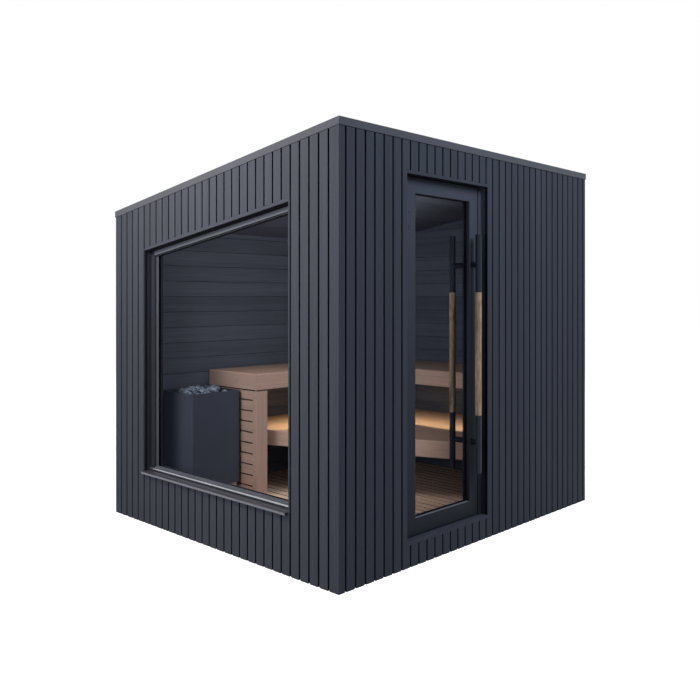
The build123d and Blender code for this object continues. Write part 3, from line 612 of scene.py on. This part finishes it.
lining = wall_boards((-wall_x, wall_x), rear, full, top_cut)
lining += wall_boards(right, side_run, full, top_cut)
lining += wall_boards((-wall_x, DOORWAY["left"]), front, full, top_cut)
lining += wall_boards((DOORWAY["right"], wall_x), front, full, top_cut)
over_door = (DOORWAY["top"], OVER_ROOF)
lining += wall_boards((DOORWAY["left"], DOORWAY["right"]), front, over_door, top_cut)
lining += wall_boards(left, (side_run[0], window_front), full, top_cut)
lining += wall_boards(left, (window_rear, side_run[1]), full, top_cut)
lining += wall_boards(left, (window_front, window_rear), (LINING_FOOT, window_low))
lining += wall_boards(
    left,
    (window_front, window_rear),
    (roof_z(window_rear, window_drop), OVER_ROOF),
    top_cut + [above_head(window_drop)],
)
add_piece("lining_boards", lining, "lining", "cabin", 0.0022, ["wall_lining"])

ceiling = []
ceiling_y = -ROOM_Y + mitre
while ceiling_y < ROOM_Y - mitre - 0.01:
    after = min(ceiling_y + BOARD_PITCH, ROOM_Y - mitre)
    low = (-ROOM_X + mitre, ceiling_y, 0)
    ceiling.append(slab(low, (ROOM_X - mitre, after - BOARD_GAP, LINING)))
    ceiling_y = after
for part in ceiling:
    for vertex in part.verts:
        vertex.co.z += roof_z(vertex.co.y, CEILING_DROP + LINING)
add_piece(
    "ceiling_boards", ceiling, "lining", "cabin", 0.0022, ["ceiling_lining"]
)


def on_side(u, v, depth):
    """A point of the window wall: u along Y, v up and depth behind the face of the boards."""
    return (-HALF_WIDTH + depth, u, v)


def window_outline(inset):
    """The window's four corners, drawn in by an inset."""
    front_y, rear_y = WINDOW["front"] + inset, WINDOW["rear"] - inset
    drop = WINDOW["drop"] + inset
    low = WINDOW["low"] + inset
    return [
        (front_y, low),
        (rear_y, low),
        (rear_y, roof_z(rear_y, drop)),
        (front_y, roof_z(front_y, drop)),
    ]


BAR_FACE = 0.035
WINDOW_GLASS = 0.084
GLASS = 0.008
for name, offset, back in (("outer", 0.0, -1), ("inner", GLASS, 1)):
    seal = ring(
        window_outline(BAR_FACE - 0.0005),
        window_outline(BAR_FACE + 0.0035),
        on_side,
        WINDOW_GLASS + offset,
        WINDOW_GLASS + offset + back * 0.004,
    )
    add_piece(f"window_seal_{name}", [seal], "rubber_and_shade", "cabin", 0.0006)
bead = ring(
    window_outline(BAR_FACE - 0.0005),
    window_outline(BAR_FACE + 0.004),
    on_side,
    WINDOW_GLASS - 0.018,
    WINDOW_GLASS - 0.0045,
)

# Black strips along the window's head, by its bar and by the glass, that paint the shade there:
# from and to which depth behind the boards, how far inside the opening, and how tall
head_shade_strips = [
    slab(
        (-HALF_WIDTH + near, WINDOW["front"] + inset + 0.001, 1.2),
        (-HALF_WIDTH + far, WINDOW["rear"] - inset - 0.001, 2.2),
        [below_ceiling(WINDOW["drop"] + inset), above_head(WINDOW["drop"] + inset + depth)],
    )
    for near, far, inset, depth in (
        (0.040, 0.0496, 0.0005, 0.008),
        (0.0795, 0.0839, BAR_FACE, 0.009),
    )
]
add_piece("window_head_shade_strips", head_shade_strips, "rubber_and_shade", "cabin", 0.0004)
add_piece("window_bead", [bead], "window_frame_lit", "cabin", 0.0008)


def on_front(u, v, depth):
    """A point of the front wall: u along X, v up and depth behind the face of the boards."""
    return (u, -HALF_DEPTH + depth, v)


glass_low, glass_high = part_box("door_glass")
DOOR_REBATE = 0.008


def door_outline(inset):
    """The four corners of the glass that shows in the door, drawn in by an inset."""
    low_x, high_x = glass_low.x + DOOR_REBATE + inset, glass_high.x - DOOR_REBATE - inset
    low_z, high_z = glass_low.z + DOOR_REBATE + inset, glass_high.z - DOOR_REBATE - inset
    return [(low_x, low_z), (high_x, low_z), (high_x, high_z), (low_x, high_z)]


door_seals = [
    ring(door_outline(-0.0005), door_outline(0.004), on_front, start, start + 0.003)
    for start in (glass_low.y + HALF_DEPTH - 0.003, glass_high.y + HALF_DEPTH)
]
add_piece("door_seals", door_seals, "rubber_and_shade", "door", 0.0005)

# A light strip on the bottom rail, in front of the glass, that paints the highlight along it
strip_low, strip_high = door_outline(0.002)[:2]
strip = slab(
    (strip_low[0], -HALF_DEPTH + LEAF_FRONT + 0.002, strip_low[1] - 0.0018),
    (strip_high[0], glass_low.y - 0.0035, strip_low[1] - 0.0008),
)
add_piece("door_highlight_strip", [strip], "strip", "door", 0.0003)

# Rolled back edge of the sill, in front of the window's bottom rail
sill_low, sill_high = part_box("window_sill")
roll = 0.0085
roll_z = sill_high.z - roll * 0.4
sill_roll = rod(
    (sill_high.x - roll, sill_low.y + 0.001, roll_z),
    (sill_high.x - roll, sill_high.y - 0.001, roll_z),
    roll,
    24,
)
add_piece("sill_roll", [sill_roll], "bright", "cabin", 0.0008)

# Screws in the hinge straps
screws = {"cabin": [], "door": []}
for node, body, side in (("frame_hinges", "cabin", -1), ("leaf_hinges", "door", 1)):
    low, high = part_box(node)
    edge_x = low.x if side < 0 else high.x
    for hinge_z in HINGE_HEIGHTS:
        for step in (-SCREW_STEP, 0.0, SCREW_STEP):
            if body == "cabin" or step:
                x = edge_x - side * 0.012
                face = -HALF_DEPTH + LEAF_FRONT - STRAP
                z = hinge_z + step
                screws[body].append(
                    rod((x, face + 0.001, z), (x, face - 0.0012, z), 0.0042, 18, 0.0030)
                )
for body, parts in screws.items():
    add_piece(f"hinge_screws_{body}", parts, "black", body)

# Laps of the roof felt, which lie inside the edge flashings
laps = []
for lap_x in (-0.39, 0.39):
    lap = slab((lap_x - 0.05, -0.955, 0), (lap_x + 0.05, 0.955, 0.0022))
    for vertex in lap.verts:
        vertex.co.z += roof_z(vertex.co.y, 0.004)
    laps.append(lap)
add_piece("roof_laps", laps, "felt", "cabin", 0.0008)

# Black strips in the gap between the end panel or post and the bench on it, that paint the shade in
# that gap
panel_front, panel_top = 0.385, 0.802
gap_top = panel_top + 0.0078
gap_shade_strips = [
    slab(
        (-PANEL_FACE + 0.005, panel_front + low_y, panel_top + 0.0002),
        (-PANEL_FACE + reach, high_y, gap_top),
    )
    for low_y, reach, high_y in (
        (0.030, 0.024, ROOM_Y - 0.002),
        (0.004, 0.090, panel_front + 0.0095),
    )
]
add_piece("bench_gap_shade", gap_shade_strips, "rubber_and_shade", "cabin", 0.0004)

# Split stones heaped in the heater's tray
dice = random.Random(11)
casing_low, casing_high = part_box("heater_casing")
heap_middle = (casing_low + casing_high) / 2
RIM, STONE = 0.016, 0.027
HEAP_SHIFT = 0.012
reach_x = (casing_high.x - casing_low.x) / 2 - RIM - STONE
reach_y = (casing_high.y - casing_low.y) / 2 - RIM - STONE


def split_stone(middle, radius):
    """An angular stone: the hull of points scattered about a flattened ball."""
    made = bmesh.new()
    squash = Vector((dice.uniform(0.85, 1.2), dice.uniform(0.75, 1.05), dice.uniform(0.5, 0.75)))
    turn = Matrix.Rotation(dice.uniform(0, math.tau), 3, "Z") @ Matrix.Rotation(
        dice.uniform(-0.5, 0.5), 3, "X"
    )
    for _ in range(15):
        point = Vector([dice.gauss(0, 1) for _ in range(3)]).normalized()
        point *= radius * dice.uniform(0.85, 1.0)
        made.verts.new(middle + turn @ Vector([a * b for a, b in zip(point, squash)]))
    hull = bmesh.ops.convex_hull(made, input=made.verts)
    inside = [v for v in hull["geom_interior"] if isinstance(v, bmesh.types.BMVert)]
    bmesh.ops.delete(made, geom=inside, context="VERTS")
    bmesh.ops.recalc_face_normals(made, faces=made.faces)
    return made


# Three layers, each with its height about the rim and the share of the tray that it fills
stones = []
count_x, count_y = 7, 6
for lift, crowd in ((-0.036, 1.0), (-0.012, 1.0), (0.008, 0.72)):
    for i in range(count_x):
        for j in range(count_y):
            u = (i + 0.5) / count_x * 2 - 1 + dice.uniform(-0.08, 0.08)
            v = (j + 0.5) / count_y * 2 - 1 + dice.uniform(-0.08, 0.08)
            if math.hypot(u, v) > 1.25 * crowd:
                continue
            u, v = max(-1, min(1, u * 1.1)), max(-1, min(1, v * 1.1))
            crown = 0.006 * (1 - min(1, u * u + v * v))
            middle = Vector(
                (
                    heap_middle.x - HEAP_SHIFT + u * (reach_x - HEAP_SHIFT),
                    heap_middle.y + v * reach_y,
                    casing_high.z + lift + crown + dice.uniform(-0.005, 0.004),
                )
            )
            stones.append(split_stone(middle, dice.uniform(0.021, 0.030)))
add_piece("heater_stone_heap", stones, "stone", "cabin", 0.0012, ["heater_stones"])

# Stage, camera and lights


def stage_floor():
    """A pale floor that reads white to the camera and keeps the cabin's shadow."""
    mesh = bpy.data.meshes.new("stage_floor")
    reach = 40.0
    level = -0.0005
    corners = [(-reach, -reach, level), (reach, -reach, level), (reach, reach, level)]
    mesh.from_pydata(corners + [(-reach, reach, level)], [], [(0, 1, 2, 3)])
    p = Paint("pale_floor")
    path = p.add("ShaderNodeLightPath").outputs
    seen = p.sum("MAXIMUM", path["Is Camera Ray"], path["Is Glossy Ray"])
    seen = p.sum("MAXIMUM", seen, path["Is Transmission Ray"])
    grit = p.noise(p.place, 3.0, 3.0, 0.5)
    pale = p.tone(rgba((0.80, 0.80, 0.80)), p.span(grit, 0.99, 1.01))
    p.set(
        Base_Color=p.blend(seen, rgba((0.07, 0.07, 0.07)), pale),
        Roughness=0.9,
        Specular_IOR_Level=0.0,
        Emission_Color=rgba((1, 1, 1)),
        Emission_Strength=p.sum("MULTIPLY", seen, FLOOR_LIFT),
    )
    mesh.materials.append(p.mat)
    floor = bpy.data.objects.new("stage_floor", mesh)
    scene.collection.objects.link(floor)


FLOOR_LIFT = 0.89
stage_floor()

# A cool sky lights the cabin, while the camera, gloss and glass show white in its place
world = bpy.data.worlds.new("studio")
scene.world = world
world.use_nodes = True
tree = world.node_tree
sky = tree.nodes["Background"]
sky.inputs["Color"].default_value = (0.78, 0.88, 1.0, 1.0)
sky.inputs["Strength"].default_value = 0.20
white = tree.nodes.new("ShaderNodeBackground")
white.inputs["Strength"].default_value = 1.0
white.inputs["Color"].default_value = (1, 1, 1, 1)
path = tree.nodes.new("ShaderNodeLightPath")
either = [tree.nodes.new("ShaderNodeMath") for _ in range(2)]
for node in either:
    node.operation = "MAXIMUM"
chosen = tree.nodes.new("ShaderNodeMixShader")
for source, target in (
    (path.outputs["Is Camera Ray"], either[0].inputs[0]),
    (path.outputs["Is Glossy Ray"], either[0].inputs[1]),
    (either[0].outputs[0], either[1].inputs[0]),
    (path.outputs["Is Transmission Ray"], either[1].inputs[1]),
    (either[1].outputs[0], chosen.inputs[0]),
    (sky.outputs[0], chosen.inputs[1]),
    (white.outputs[0], chosen.inputs[2]),
    (chosen.outputs[0], tree.nodes["World Output"].inputs["Surface"]),
):
    tree.links.new(source, target)


def lamp(name, place, target, size, power, colour, spread=180):
    """A soft rectangular lamp that shines at a target, or straight down."""
    data = bpy.data.lights.new(name, "AREA")
    data.shape = "RECTANGLE"
    data.size, data.size_y = size
    data.energy = power
    data.color = colour
    data.spread = math.radians(spread)
    made = bpy.data.objects.new(name, data)
    made.location = place
    if target:
        aim = Vector(target) - Vector(place)
        made.rotation_euler = aim.to_track_quat("-Z", "Y").to_euler()
    made.visible_camera = False
    made.visible_glossy = False
    made.visible_transmission = False
    scene.collection.objects.link(made)


lamp("key", (-3.07, 0.10, 2.89), (-1.2, 0.02, 2.49), (1.8, 0.8), 94.0, (1.0, 0.965, 0.90))
lamp("side", (-4.70, -0.80, 1.45), (-1.2, -0.30, 1.0), (3.0, 1.4), 80.0, (0.89, 0.93, 1.0))
lamp("fill", (0.25, -4.3, 4.72), (0.1, -1.0, 1.5), (2.2, 2.2), 212.0, (0.76, 0.87, 1.0))
lamp("back", (4.8, 4.2, 5.5), (0.5, 0.5, 1.2), (3.0, 3.0), 480.0, (1.0, 1.0, 1.0))

# Soft lamps inside the doorway fill the room, and a faint one the gap beside the heater
lamp("room", (-0.55, -0.82, 1.10), (-0.45, 0.9, 1.45), (0.8, 1.5), 5.8, (0.98, 0.98, 1.0))
lamp("room_top", (-0.35, -0.60, 1.66), (-0.35, 0.9, 1.86), (1.2, 0.2), 8.0, (0.98, 0.98, 1.0))
lamp("heater_side", (-1.09, 0.74, 0.50), (0.0, 0.74, 0.50), (0.36, 0.7), 0.22, (0.85, 0.93, 1.0))

# The warm strips light the lower bench from behind the fascias
strip_z = 0.878
WARM = (1.0, 0.82, 0.45)
lamp("strip_side", (0.513, -0.24, strip_z), None, (0.014, 1.15), 3.35, WARM, 120)
lamp("strip_rear", (-0.01, 0.423, strip_z), None, (0.86, 0.014), 3.2, WARM, 120)

camera = bpy.data.cameras.new("camera")
camera.lens = 40.2
camera.sensor_width = 36.0
camera.shift_y = -0.0746
camera.clip_start = 0.05
camera.clip_end = 200.0
viewer = bpy.data.objects.new("camera", camera)
viewer.location = (-3.8908, -3.7048, 1.430)
viewer.rotation_euler = (math.radians(90), 0, math.radians(-45.88))
scene.collection.objects.link(viewer)
scene.camera = viewer
scene.view_settings.view_transform = "Standard"
